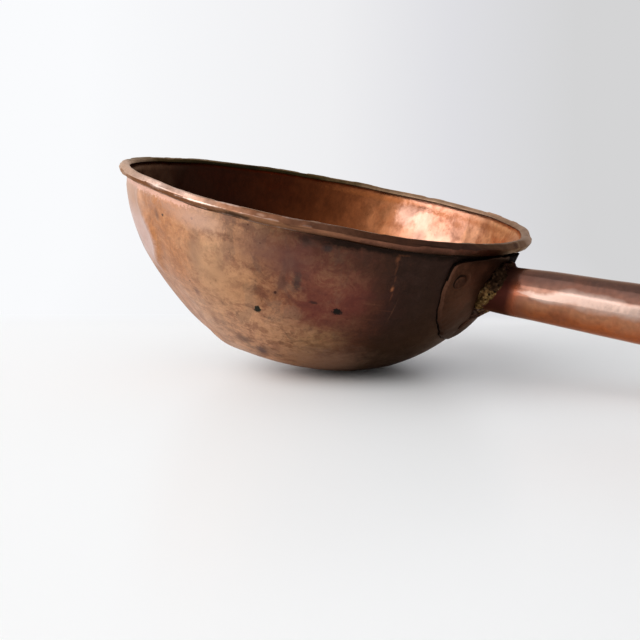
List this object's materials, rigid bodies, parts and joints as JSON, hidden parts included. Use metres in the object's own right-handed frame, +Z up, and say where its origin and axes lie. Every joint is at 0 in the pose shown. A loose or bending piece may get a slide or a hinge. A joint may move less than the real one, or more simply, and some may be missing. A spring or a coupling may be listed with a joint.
{
  "type": "copper jam pan",
  "caption": "Round-bottomed copper jam pan with a rolled, wired rim and a hollow tube handle brazed to a riveted plate.",
  "frame": {"origin": "the point where the domed bottom touches the table when the pan leans towards its handle, as it does at rest", "axes": "+X from the rest point towards the handle, along the table; +Z up; the pan's mirror plane is XZ"},
  "size_m": [0.4464, 0.28, 0.144],
  "materials": {
    "bowl_copper": "old raised copper, browned and mottled, rubbed bright on its high spots",
    "plate_copper": "old copper sheet with a dark brown patina",
    "rivet_copper": "hammered copper rivet heads, darkened",
    "handle_copper": "smooth copper tube, browned, worn glossy by hands",
    "braze_brass": "rough run of brass braze, olive gold with blackened patches",
    "iron_wire": "dull drawn iron wire, hidden inside the rolls"
  },
  "bodies": {
    "root": {"bowl": "bowl_copper", "rim_wire": "iron_wire", "handle_plate": "plate_copper", "rivet_left": "rivet_copper", "rivet_right": "rivet_copper", "rivet_lower": "rivet_copper", "handle_tube": "handle_copper", "seam_braze": "braze_brass", "root_braze": "braze_brass", "mouth_wire": "iron_wire"}
  },
  "joints": []
}
